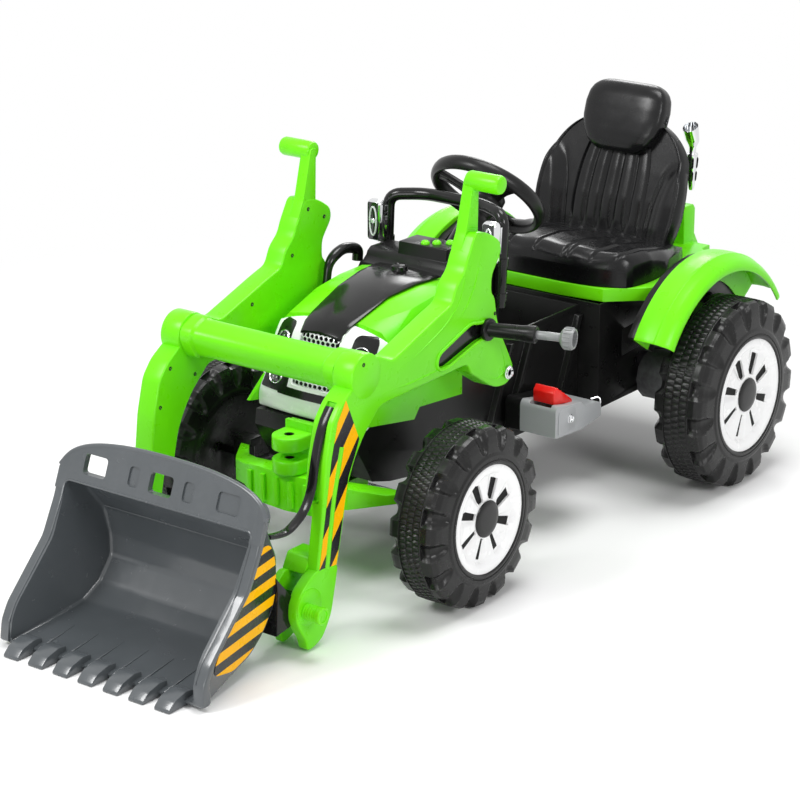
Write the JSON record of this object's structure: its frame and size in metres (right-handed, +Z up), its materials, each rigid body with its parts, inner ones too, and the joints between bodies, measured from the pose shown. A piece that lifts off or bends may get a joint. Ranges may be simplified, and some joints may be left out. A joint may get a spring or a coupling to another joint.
{
  "type": "kids electric ride-on front loader",
  "caption": "Child's battery-driven ride-on tractor with a front loader: lifting arms, tilting bucket, seat with headrest, steered front wheels and mudguards over the rear wheels.",
  "frame": {"origin": "on the ground, in the middle of the bounding box in plan", "axes": "+Z up, -Y forward to the bucket, +X the driver's left"},
  "size_m": [0.663, 1.415, 0.6016],
  "materials": {
    "green_moulding": "satin",
    "black_moulding": "matte",
    "gloss_black": "satin",
    "bucket_black": "satin",
    "wheel_black": "satin",
    "white_moulding": "gloss",
    "light_grey_moulding": "matte",
    "battery_case": "matte",
    "grille_grey": "gloss",
    "red_moulding": "gloss",
    "plated_plastic": "polished",
    "plated_steel": "satin"
  },
  "bodies": {
    "chassis": {"chassis_tub": "black_moulding", "rear_body": "black_moulding", "battery": "battery_case", "seat_base": "green_moulding", "seat_cushion": "gloss_black", "seat_back": "gloss_black", "headrest": "gloss_black", "fender_left": "green_moulding", "fender_right": "green_moulding", "exhaust_stack": "plated_plastic", "foot_rest_left": "light_grey_moulding", "foot_rest_right": "light_grey_moulding", "hood_shell": "green_moulding", "hood_centre_panel": "gloss_black", "nose_cowl": "white_moulding", "grille": "grille_grey", "upper_lamp_left": "plated_plastic", "upper_lamp_right": "plated_plastic", "lower_lamp_left": "plated_plastic", "lower_lamp_right": "plated_plastic", "dashboard": "gloss_black", "dash_hoop": "gloss_black", "hoop_lamp_left": "plated_plastic", "hoop_lamp_right": "plated_plastic", "steering_column": "gloss_black", "arm_pivot_shaft": "plated_steel", "rear_axle": "plated_steel", "gearmotor_left": "battery_case", "gearmotor_right": "battery_case", "front_axle_beam": "green_moulding"},
    "loader": {"arm_left": "green_moulding", "arm_right": "green_moulding", "crossbar": "green_moulding", "bracket_left": "green_moulding", "bracket_right": "green_moulding", "tilt_strip": "gloss_black"},
    "bucket_body": {"bucket": "bucket_black"},
    "tilt_lever_body": {"tilt_lever": "gloss_black"},
    "steering": {"steering_wheel": "gloss_black"},
    "horn": {"horn_pad": "red_moulding"},
    "tie_rod_body": {"tie_rod": "plated_steel"},
    "knuckle_left_body": {"knuckle_left": "black_moulding"},
    "knuckle_right_body": {"knuckle_right": "black_moulding"},
    "wheel_front_left": {"tyre_front_left": "wheel_black", "rim_cover_front_left": "white_moulding", "hub_cap_front_left": "gloss_black"},
    "wheel_front_right": {"tyre_front_right": "wheel_black", "rim_cover_front_right": "white_moulding", "hub_cap_front_right": "gloss_black"},
    "wheel_rear_left": {"tyre_rear_left": "wheel_black", "rim_cover_rear_left": "white_moulding", "hub_cap_rear_left": "gloss_black"},
    "wheel_rear_right": {"tyre_rear_right": "wheel_black", "rim_cover_rear_right": "white_moulding", "hub_cap_rear_right": "gloss_black"},
    "pedal": {"drive_pedal": "red_moulding"},
    "button_1": {"dash_button_1": "green_moulding"},
    "button_2": {"dash_button_2": "green_moulding"},
    "button_3": {"dash_button_3": "green_moulding"},
    "gear_lever_body": {"gear_lever": "gloss_black"}
  },
  "joints": [
    {"name": "loader_lift", "type": "hinge", "parent": "chassis", "child": "loader", "pos_m": [0, 0.0355, 0.285], "axis": [-1, 0, 0], "range_deg": [0, 40]},
    {"name": "bucket_tilt", "type": "hinge", "parent": "loader", "child": "bucket_body", "pos_m": [0, -0.4475, 0.065], "axis": [1, 0, 0], "range_deg": [0, 25]},
    {"name": "tilt_lever_slide", "type": "slide", "parent": "loader", "child": "tilt_lever_body", "axis": [0, -0.97, -0.2431], "range_m": [0, 0.06]},
    {"name": "steering_turn", "type": "hinge", "parent": "chassis", "child": "steering", "pos_m": [0, 0.2305, 0.489], "axis": [0, -0.7145, -0.6997], "range_deg": [-45, 45]},
    {"name": "horn_press", "type": "slide", "parent": "steering", "child": "horn", "axis": [0, -0.7145, -0.6997], "range_m": [0, 0.003], "stiffness_N_per_m": 800},
    {"name": "tie_rod_slide", "type": "slide", "parent": "chassis", "child": "tie_rod_body", "axis": [1, 0, 0], "range_m": [-0.0171, 0.0171]},
    {"name": "knuckle_left_turn", "type": "hinge", "parent": "chassis", "child": "knuckle_left_body", "pos_m": [0.163, -0.1585, 0.1352], "axis": [0, 0, 1], "range_deg": [-18.2, 18.2]},
    {"name": "knuckle_right_turn", "type": "hinge", "parent": "chassis", "child": "knuckle_right_body", "pos_m": [-0.163, -0.1585, 0.1352], "axis": [0, 0, 1], "range_deg": [-18.2, 18.2]},
    {"name": "front_left_spin", "type": "hinge", "parent": "knuckle_left_body", "child": "wheel_front_left", "pos_m": [0.23875, -0.1585, 0.1352], "axis": [1, 0, 0], "continuous": true},
    {"name": "front_right_spin", "type": "hinge", "parent": "knuckle_right_body", "child": "wheel_front_right", "pos_m": [-0.23875, -0.1585, 0.1352], "axis": [1, 0, 0], "continuous": true},
    {"name": "rear_left_spin", "type": "hinge", "parent": "chassis", "child": "wheel_rear_left", "pos_m": [0.28225, 0.4975, 0.1534], "axis": [1, 0, 0], "continuous": true},
    {"name": "rear_right_spin", "type": "hinge", "parent": "chassis", "child": "wheel_rear_right", "pos_m": [-0.28225, 0.4975, 0.1534], "axis": [1, 0, 0], "continuous": true},
    {"name": "pedal_press", "type": "hinge", "parent": "chassis", "child": "pedal", "pos_m": [0.169, 0.1875, 0.1975], "axis": [1, 0, 0], "range_deg": [0, 5], "stiffness_Nm_per_rad": 4, "springref_deg": -2.86},
    {"name": "button_1_press", "type": "slide", "parent": "chassis", "child": "button_1", "axis": [0, 0, -1], "range_m": [0, 0.003], "stiffness_N_per_m": 500},
    {"name": "button_2_press", "type": "slide", "parent": "chassis", "child": "button_2", "axis": [0, 0, -1], "range_m": [0, 0.003], "stiffness_N_per_m": 500},
    {"name": "button_3_press", "type": "slide", "parent": "chassis", "child": "button_3", "axis": [0, 0, -1], "range_m": [0, 0.003], "stiffness_N_per_m": 500},
    {"name": "gear_lever_tilt", "type": "hinge", "parent": "chassis", "child": "gear_lever_body", "pos_m": [-0.1225, -0.0235, 0.364], "axis": [1, 0, 0], "range_deg": [-15, 15]}
  ],
  "couplings": [
    {"joint": "tilt_lever_slide", "follows": "bucket_tilt", "m_per_rad": 0.134},
    {"joint": "tie_rod_slide", "follows": "steering_turn", "m_per_rad": 0.0216},
    {"joint": "knuckle_left_turn", "follows": "steering_turn", "ratio": -0.4},
    {"joint": "knuckle_right_turn", "follows": "steering_turn", "ratio": -0.4}
  ]
}
